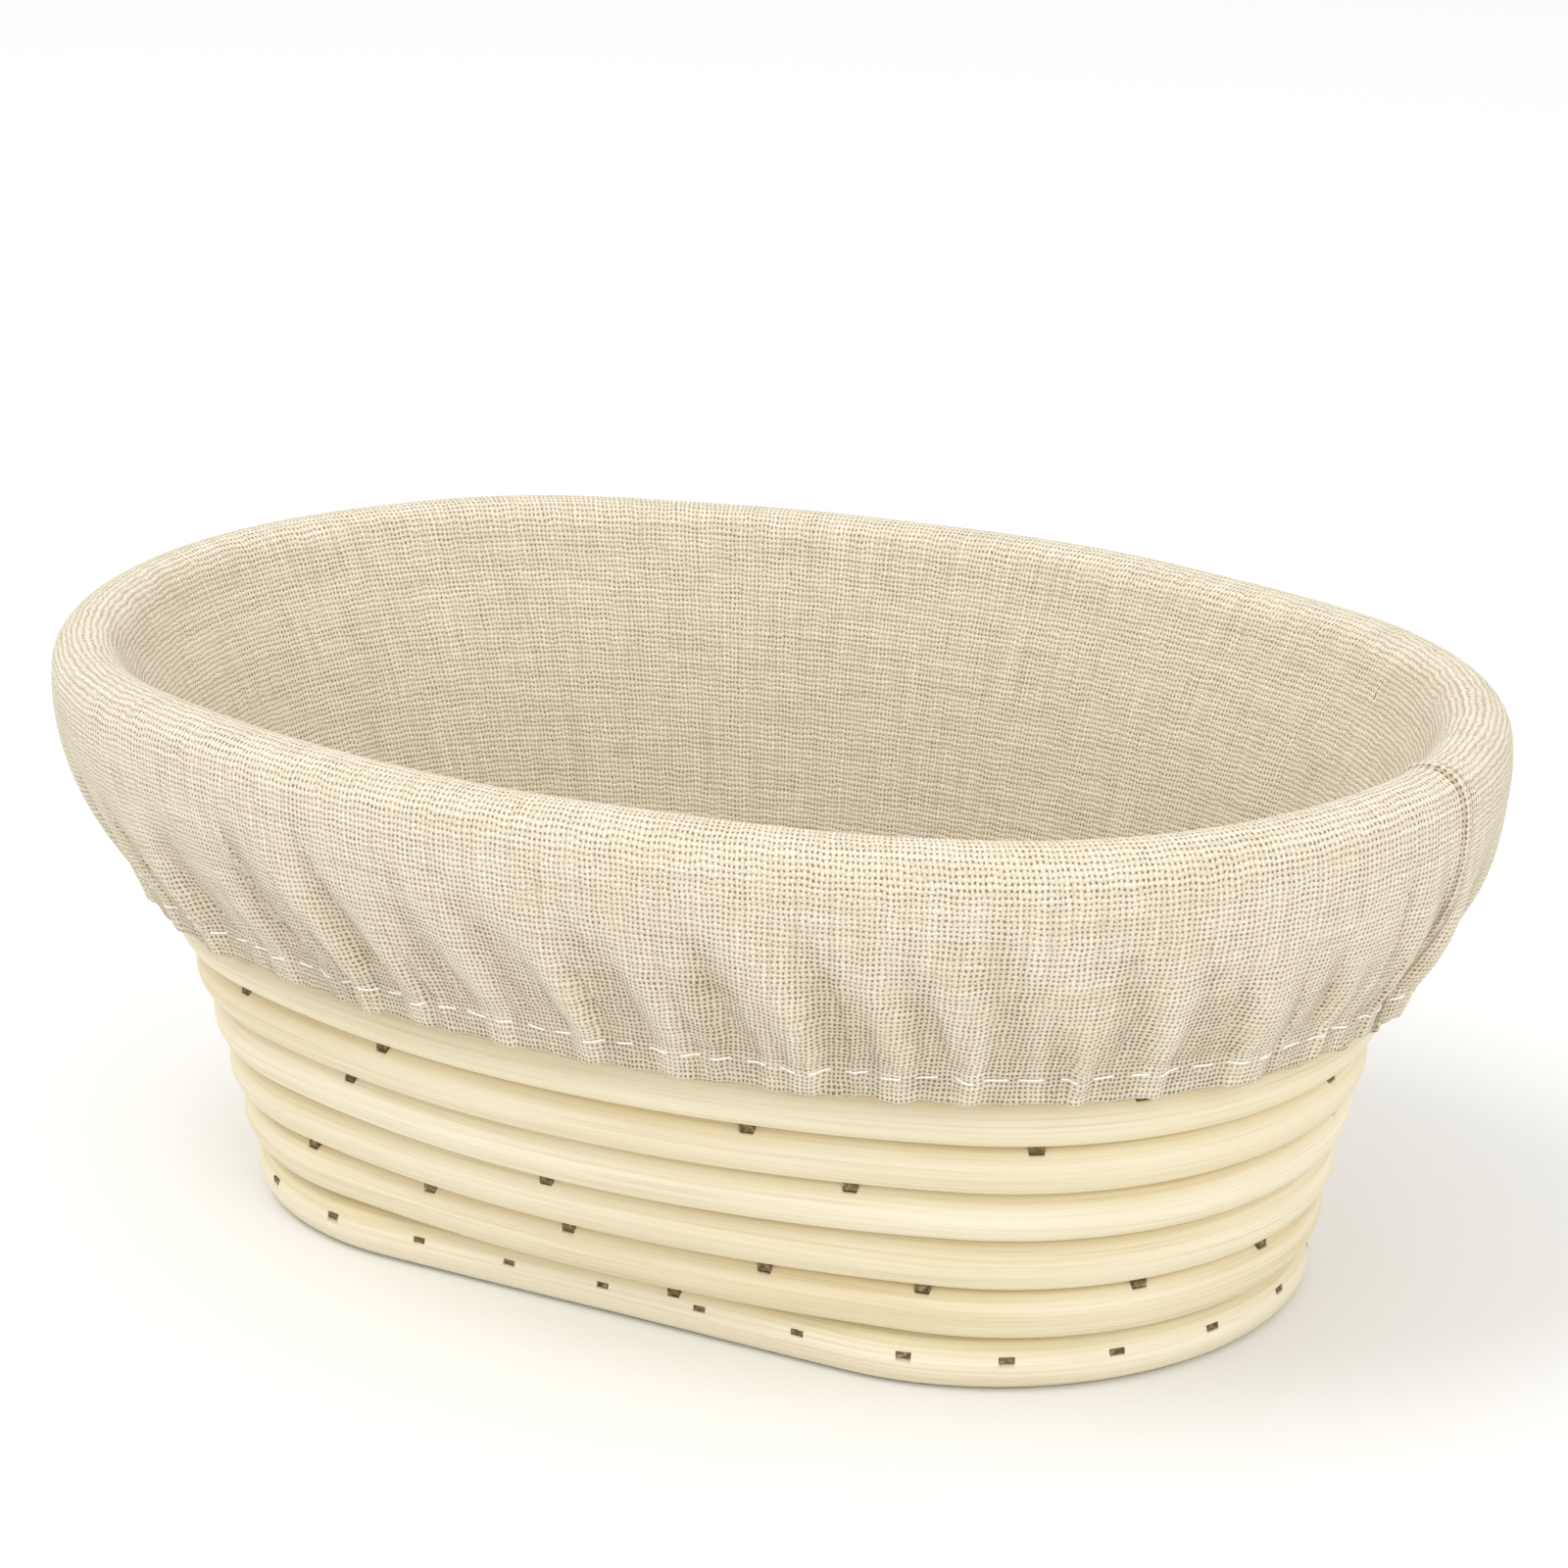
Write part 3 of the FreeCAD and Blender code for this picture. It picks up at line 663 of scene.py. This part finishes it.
def build_centre_cane():
    """The short straight cane in the middle of the base, with rounded ends."""
    low, high = node_box("base_centre_cane")
    half = (high[0] - low[0]) / 2
    height = high[2] - CANE
    rounding = END_ROUNDING
    x = [-half, -half + 0.3 * rounding, -half + rounding]
    x += list(np.linspace(-half + 2 * rounding, half - 2 * rounding, 40))
    x += [half - rounding, half - 0.3 * rounding, half]
    x = np.array(x)
    from_end = np.clip((half - np.abs(x)) / rounding, 0, 1)
    radius = CANE - rounding * (1 - np.sqrt(1 - (1 - from_end) ** 2))
    theta = np.linspace(-math.pi, math.pi, SIDES, endpoint=False)
    ring = np.stack([np.zeros(SIDES), np.cos(theta), np.sin(theta)], axis=-1)
    points = ring[None] * radius[:, None, None]
    points[:, :, 0] += x[:, None]
    points[:, :, 2] = np.maximum(points[:, :, 2] + height, WORN_HEIGHT)
    faces = grid_faces(len(x), SIDES, True)
    faces.append(tuple(range(SIDES)))
    faces.append(tuple(range((len(x) - 1) * SIDES, len(x) * SIDES))[::-1])
    obj = new_object("base_centre_cane_cane", points.reshape(-1, 3), faces, cane_look)
    grain = points.copy()
    grain[:, :, 2] -= height
    store_vectors(obj, "grain", grain.reshape(-1, 3) + 0.5)
    flat = np.zeros(len(x) * SIDES)
    store_numbers(obj, "tint", flat + 0.6)
    store_numbers(obj, "shoulder", flat)
    store_numbers(obj, "mark", flat)
    return obj


finish_cane(build_centre_cane(), "base_centre_cane")


# ---------------------------------------------------------------- the cloth's rows
#
# The side band is a grid. Its rows are ovals, from the foot of the wall up the inside, over the
# rim and down the outside to the hem, and its columns go round.


def wall_slope(index):
    before = wall_ovals[max(index - 1, 0)]
    after = wall_ovals[min(index + 1, len(wall_ovals) - 1)]
    return math.atan2(mean_radius(after) - mean_radius(before), after.height - before.height)


def wall_at(height, reach):
    index = max(i for i, oval in enumerate(wall_ovals) if oval.height <= height)
    lower, upper = wall_ovals[index], wall_ovals[index + 1]
    here = mixed(lower, upper, (height - lower.height) / (upper.height - lower.height))
    return grown(here, reach / math.cos(wall_slope(index)))


def inside_rows():
    rows = []
    for index in range(1, len(wall_ovals) - 1):
        lean = wall_slope(index)
        row = grown(wall_ovals[index], -REACH * math.cos(lean), REACH * math.sin(lean))
        if rows:
            rows += [mixed(rows[-1], row, k / 4) for k in (1, 2, 3)]
        rows.append(row)
    foot = rows[0]._replace(height=wall_ovals[0].height + REACH + 0.2 * MM)
    lead = [mixed(foot, rows[0], k / 4) for k in range(4)]
    return lead + rows


def fold_rows(last_inside):
    first = math.pi - wall_slope(len(wall_ovals) - 1)
    rim = wall_ovals[-1]
    steps = 16
    angles = [first * (1 - k / steps) for k in range(steps + 1)]
    over = [grown(rim, REACH * math.cos(a), REACH * math.sin(a)) for a in angles]
    return [mixed(last_inside, over[0], k / 4) for k in (1, 2, 3)] + over


SKIRT_ROWS = 44
HEM_ROWS = 10

# Layers of folds in the gathered skirt: seed, narrowest and widest fold in mm, height as a share
# of the width, how far down the skirt they begin, and how wide their valleys are.
FOLD_LAYERS = [
    (12, 9.0, 19.0, 0.105, 0.08, 2.0),
    (13, 5.0, 10.0, 0.125, 0.35, 2.0),
    (17, 2.6, 4.6, 0.28, 0.68, 1.4),
]


def skirt_rows(fold_end):
    hem_reach = REACH + ELASTIC + HEM_GAP
    hem_top = wall_at(HEM_BOTTOM + HEM_WIDTH, hem_reach)
    rows = []
    for k in range(1, SKIRT_ROWS + 1):
        share = k / SKIRT_ROWS
        drawn_in = mixed(fold_end, hem_top, share**SKIRT_FULLNESS)
        falling = mixed(fold_end, hem_top, share)
        rows.append(drawn_in._replace(height=falling.height))
    for k in range(1, HEM_ROWS + 1):
        rows.append(wall_at(HEM_BOTTOM + HEM_WIDTH * (1 - k / HEM_ROWS), hem_reach))
    return rows


COLUMNS = 1200
column_shares = np.arange(COLUMNS) / COLUMNS
inside = inside_rows()
fold = fold_rows(inside[-1])
skirt = skirt_rows(fold[-1])
band_rows = inside + fold + skirt
first_fold = len(inside)
first_skirt = first_fold + len(fold)
first_hem = first_skirt + SKIRT_ROWS

row_steps = [0.0]
for lower, upper in zip(band_rows, band_rows[1:]):
    run = mean_radius(upper) - mean_radius(lower)
    row_steps.append(math.hypot(run, upper.height - lower.height))
row_run = np.cumsum(row_steps)
cloth_length = perimeter(grown(fold[-1], CLOTH))


def row_normals(rows):
    """For each row, how much the cloth faces out and up there."""
    normals = []
    for index in range(len(rows)):
        before = rows[max(index - 1, 0)]
        after = rows[min(index + 1, len(rows) - 1)]
        run = mean_radius(after) - mean_radius(before)
        rise = after.height - before.height
        length = math.hypot(run, rise)
        normals.append((-rise / length, run / length))
    return np.array(normals)


def fold_lines(seed, narrowest, widest):
    """Valleys between neighbouring folds, as shares of the way round, unevenly spaced."""
    rng = np.random.default_rng(seed)
    gaps = rng.uniform(narrowest, widest, int(cloth_length / narrowest))
    run = np.cumsum(gaps)
    run = run[run < cloth_length - narrowest]
    return np.concatenate([[0.0], run / (run[-1] + narrowest), [1.0]])


def fold_crests(lines, shares, roundness):
    """Crests between valleys: their height from 0 to 1, and which fold it is."""
    shares = shares % 1.0
    index = np.clip(np.searchsorted(lines, shares, side="right") - 1, 0, len(lines) - 2)
    across = (shares - lines[index]) / (lines[index + 1] - lines[index])
    return np.sin(np.pi * across) ** roundness, index


FOLD_SLANT = 7.0 * MM
FOLD_WANDER = 1.2 * MM
SKIRT_WAVE = 0.45 * MM
SKIRT_BELLY = 0.7 * MM


def skirt_relief():
    """How far the gathered cloth stands out, by row of the skirt and column, and the painted shade in its
    troughs.
    """
    rows = len(skirt)
    below_fold = np.arange(1, rows + 1)[:, None] / SKIRT_ROWS
    down = np.minimum(below_fold, 1.0)
    slant = FOLD_SLANT / cloth_length * (0.35 - np.sin(2 * np.pi * (column_shares - 0.02)))[None]
    moved = column_shares[None] + slant * (1 - down) ** 1.3
    moved = moved + FOLD_WANDER / cloth_length * wave_noise(column_shares, 14, 12, 12)[None] * down
    relief = np.zeros((rows, COLUMNS))
    trough_shade = np.zeros((rows, COLUMNS))
    for seed, narrowest, widest, height, start, roundness in FOLD_LAYERS:
        lines = fold_lines(seed, narrowest * MM, widest * MM)
        crest, index = fold_crests(lines, moved, roundness)
        rng = np.random.default_rng(seed + 1)
        width = np.diff(lines) * cloth_length
        tall = (height * width * rng.uniform(0.45, 1.25, len(width)))[index]
        begin = rng.uniform(start - 0.1, start + 0.25, len(width))[index]
        grown_up = smooth(down, begin, begin + 0.6)
        relief += tall * (crest - 0.45) * grown_up
        # painted shade: strongest deep in the valleys between the taller folds
        trough_shade += (1 - crest) ** 2 * grown_up * tall / MM
    relief += SKIRT_WAVE * smooth(down, 0.1, 0.6) * wave_noise(column_shares, 5, 10, 5)[None]
    relief += SKIRT_BELLY * np.sin(np.pi * down) ** 0.8
    hem = np.clip((below_fold - 1.0) * SKIRT_ROWS / HEM_ROWS, 0, 1)
    pressed = smooth(down, 0.86, 1.0)
    outwards = np.maximum(relief, 0.0) * (1 - 0.35 * hem)
    return relief * (1 - pressed) + outwards * pressed, np.clip(trough_shade, 0, 1)


SHEET_THICKNESS = CLOTH - 0.1 * MM
INNER_SWELL = 0.45 * MM
INNER_CREASE = 1.7 * MM
RIM_ROLL = 0.3 * MM
SEAM_HEIGHT = 0.5 * MM
SEAM_HALF_WIDTH = 1.1 * MM
SEAM_LINE = 0.4 * MM
HEM_SCALLOP = 0.45 * MM


def build_band():
    rows = len(band_rows)
    points = np.zeros((rows, COLUMNS, 3))
    outwards = np.zeros((rows, COLUMNS, 3))
    for index, row in enumerate(band_rows):
        points[index], outwards[index] = oval_points(row, column_shares)
    normals = row_normals(band_rows)
    relief = np.zeros((rows, COLUMNS))
    trough_shade = np.zeros((rows, COLUMNS))
    relief[first_skirt:], trough_shade[first_skirt:] = skirt_relief()
    inner_share = np.linspace(0, 1, first_fold)[:, None]
    soft = wave_noise(column_shares, 21, 9, 3)[None] * np.sin(np.pi * inner_share) ** 0.7
    creased = np.maximum(wave_noise(column_shares, 23, 14, 18), 0.0)[None] ** 1.5
    relief[:first_fold] += INNER_SWELL * (soft + 1.0) * np.sin(np.pi * inner_share) ** 0.5
    relief[:first_fold] += INNER_CREASE * creased * np.sin(np.pi * inner_share) ** 0.6
    over = np.linspace(0, 1, first_skirt - first_fold)[:, None]
    roll = RIM_ROLL * (1 + wave_noise(column_shares, 27, 9, 4))[None]
    relief[first_fold:first_skirt] += roll * np.sin(np.pi * over)
    from_seam = np.minimum(column_shares, 1 - column_shares) * cloth_length
    relief += SEAM_HEIGHT * np.exp(-((from_seam / SEAM_HALF_WIDTH) ** 2))[None]
    # painted shade: a dark line beside the seam ridge
    trough_shade += 2.0 * np.exp(-(((from_seam - SEAM_HALF_WIDTH) / SEAM_LINE) ** 2))[None]
    relief[:first_skirt] = np.maximum(relief[:first_skirt], 0.0)
    standing = CLOTH + relief
    points += outwards * (standing * normals[:, :1])[:, :, None]
    points += UP * (standing * normals[:, 1:])[:, :, None]
    scallop = HEM_SCALLOP * wave_noise(column_shares, 33, 12, 50)
    points[-1, :, 2] += scallop
    points[-2, :, 2] += 0.5 * scallop

    faces = [face[::-1] for face in grid_faces(rows, COLUMNS, True)]
    obj = new_object("liner_band_cloth", points.reshape(-1, 3), faces, linen_look)
    weave = np.zeros((rows, COLUMNS, 3))
    weave[:, :, 0] = np.minimum(column_shares, 1 - column_shares)[None] * cloth_length
    weave[:, :, 1] = row_run[:, None]
    store_vectors(obj, "weave", weave.reshape(-1, 3))
    store_numbers(obj, "trough_shade", trough_shade)
    thick = obj.modifiers.new("cloth", "SOLIDIFY")
    thick.thickness = SHEET_THICKNESS
    thick.offset = -1.0
    return obj, points


band, band_points = build_band()
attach(band, "liner")
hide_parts("liner_side_band")


# ---------------------------------------------------------------- base panel


PANEL_INSET = 0.4 * MM
PANEL_RIPPLE = 0.25 * MM
PANEL_LIFT = 0.12 * MM


def build_panel():
    low, high = node_box("liner_base_panel")
    edge = grown(inside[0], -CLOTH - PANEL_INSET)
    rings = 28
    columns = 240
    shares = np.arange(columns) / columns
    rng = np.random.default_rng(3)
    points = [np.array([0.0, 0.0, high[2]])]
    rim, _outwards = oval_points(edge, shares)
    for ring in range(1, rings + 1):
        t = ring / rings
        line = rim * t
        ripple = PANEL_RIPPLE * np.sin(line[:, 0] * 190 + rng.uniform(0, 0.2)) * np.sin(line[:, 1] * 230)
        lift = PANEL_LIFT * math.sin(t * math.pi)
        line[:, 2] = high[2] + lift + ripple * (1 - t**4)
        points += list(line)
    faces = [(0, 1 + c, 1 + (c + 1) % columns) for c in range(columns)]
    for a, b, c, d in grid_faces(rings, columns, True):
        faces.append((a + 1, d + 1, c + 1, b + 1))
    obj = new_object("liner_base_cloth", points, faces, linen_look)
    array = np.array(points)
    weave = array.copy()
    weave[:, 2] = 0.0
    store_vectors(obj, "weave", weave + 0.5)
    store_numbers(obj, "trough_shade", np.zeros(len(points)))
    thick = obj.modifiers.new("cloth", "SOLIDIFY")
    thick.thickness = SHEET_THICKNESS
    thick.offset = -1.0
    return obj


panel = build_panel()
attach(panel, "liner")
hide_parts("liner_base_panel")


# ---------------------------------------------------------------- stitches


STITCH_LENGTH = 3.2 * MM
STITCH_DIVE = 0.3 * MM
STITCH_TILT = 0.25 * MM
HEM_STITCH_PITCH = 4.6 * MM
HEM_STITCH_PROUD = 0.1 * MM
HEM_THREAD_RADIUS = 0.14 * MM
BASE_STITCH_PITCH = 4.4 * MM
BASE_STITCH_PROUD = 0.3 * MM
BASE_THREAD_RADIUS = 0.17 * MM
BASE_SEAM_INSET = 4.5 * MM
BASE_SEAM_LIFT = 0.05 * MM


def thread_stitch(centres, radius):
    """One stitch: a short thread along its centres."""
    points = []
    sides = 8
    tangents = np.gradient(centres, axis=0)
    for centre, tangent in zip(centres, tangents):
        side = np.cross(tangent, UP)
        side /= np.linalg.norm(side)
        top = np.cross(side, tangent)
        top /= np.linalg.norm(top)
        for j in range(sides):
            a = 2 * math.pi * j / sides
            points.append(centre + radius * (math.cos(a) * side + math.sin(a) * top))
    faces = grid_faces(len(centres), sides, True)
    faces.append(tuple(range(sides))[::-1])
    faces.append(tuple(range((len(centres) - 1) * sides, len(centres) * sides)))
    return points, faces


def build_stitches(name, line, out, pitch, proud, radius, seed):
    """Running stitches that follow a closed line on the cloth and dive into it at both ends."""
    steps = np.linalg.norm(np.diff(line, axis=0, append=line[:1]), axis=1)
    run = np.concatenate([[0], np.cumsum(steps)])
    closed = np.concatenate([line, line[:1]])
    closed_out = np.concatenate([out, out[:1]])
    rng = np.random.default_rng(seed)
    count = int(run[-1] // pitch)
    arch = np.linspace(-1, 1, 9)
    lift = proud - (proud + STITCH_DIVE) * arch**4
    points = []
    faces = []
    for k in range(count):
        begin = (k + 0.5 + rng.uniform(-0.08, 0.08)) * run[-1] / count
        size = STITCH_LENGTH * rng.uniform(0.82, 1.12)
        distances = np.clip(begin + arch * size / 2, 0, run[-1])
        centres = np.stack([np.interp(distances, run, closed[:, j]) for j in range(3)], axis=-1)
        ways = np.stack([np.interp(distances, run, closed_out[:, j]) for j in range(3)], axis=-1)
        tilt = rng.uniform(-STITCH_TILT, STITCH_TILT)
        centres = centres + ways * lift[:, None] + UP * (tilt * arch)[:, None]
        new_points, new_faces = thread_stitch(centres, radius)
        faces += [tuple(i + len(points) for i in face) for face in new_faces]
        points += new_points
    return new_object(name, points, faces, thread_look)


hem_row = first_hem + round((1 - HEM_STITCHING / HEM_WIDTH) * HEM_ROWS) - 1
columns_out = oval_points(band_rows[hem_row], column_shares)[1]
hem_stitches = build_stitches(
    "liner_hem_thread",
    band_points[hem_row],
    columns_out,
    HEM_STITCH_PITCH,
    HEM_STITCH_PROUD,
    HEM_THREAD_RADIUS,
    4,
)
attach(hem_stitches, "liner")
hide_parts("liner_hem_stitches")

seam_line, _out = oval_points(grown(inside[0], -CLOTH - BASE_SEAM_INSET), np.arange(480) / 480)
seam_line[:, 2] = node_box("liner_base_panel")[1][2] + BASE_SEAM_LIFT
base_stitches = build_stitches(
    "liner_base_thread",
    seam_line,
    np.broadcast_to(UP, seam_line.shape),
    BASE_STITCH_PITCH,
    BASE_STITCH_PROUD,
    BASE_THREAD_RADIUS,
    6,
)
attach(base_stitches, "liner")
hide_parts("liner_base_stitches")

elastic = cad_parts["liner_hem_elastic"]
elastic.data.materials.clear()
elastic.data.materials.append(elastic_look)


# ---------------------------------------------------------------- floor, light and camera


def build_floor():
    size = 3.0
    corners = [(-size, -size, 0), (size, -size, 0), (size, size, 0), (-size, size, 0)]
    floor = new_object("floor", corners, [(0, 1, 2, 3)], floor_material(), False)


def area_light(name, place, size, power):
    data = bpy.data.lights.new(name, "AREA")
    data.shape = "DISK"
    data.size = size
    data.energy = power
    light = bpy.data.objects.new(name, data)
    light.location = place
    light.rotation_euler = (-Vector(place)).to_track_quat("-Z", "Y").to_euler()
    bpy.context.scene.collection.objects.link(light)


def build_light():
    world = bpy.data.worlds.new("studio")
    world.use_nodes = True
    background = world.node_tree.nodes["Background"]
    background.inputs["Color"].default_value = (1.0, 1.0, 1.0, 1.0)
    background.inputs["Strength"].default_value = 1.0
    bpy.context.scene.world = world
    area_light("key", (-0.35, -0.6, 1.4), 0.9, 7.5)
    area_light("fill", (1.1, -0.6, 0.6), 0.9, 3.5)


CAMERA_AZIMUTH = math.radians(32.76)
CAMERA_ELEVATION = math.radians(20.0)
CAMERA_DISTANCE = 0.7183
CAMERA_TARGET = Vector((0.0, 0.0, 0.045))
CAMERA_LENS = 120.6
CAMERA_ROLL = math.radians(-1.2)
CAMERA_SHIFT = (0.0128, 0.0790)


def build_camera():
    data = bpy.data.cameras.new("camera")
    data.lens = CAMERA_LENS
    data.sensor_width = 36.0
    data.shift_x, data.shift_y = CAMERA_SHIFT
    data.clip_start = 0.01
    camera = bpy.data.objects.new("camera", data)
    way = Vector(
        (
            math.sin(CAMERA_AZIMUTH) * math.cos(CAMERA_ELEVATION),
            -math.cos(CAMERA_AZIMUTH) * math.cos(CAMERA_ELEVATION),
            math.sin(CAMERA_ELEVATION),
        )
    )
    camera.location = CAMERA_TARGET + way * CAMERA_DISTANCE
    camera.rotation_euler = (-way).to_track_quat("-Z", "Y").to_euler()
    camera.rotation_euler.rotate_axis("Z", CAMERA_ROLL)
    bpy.context.scene.collection.objects.link(camera)
    bpy.context.scene.camera = camera


build_floor()
build_light()
build_camera()
bpy.context.scene.view_settings.view_transform = "Standard"
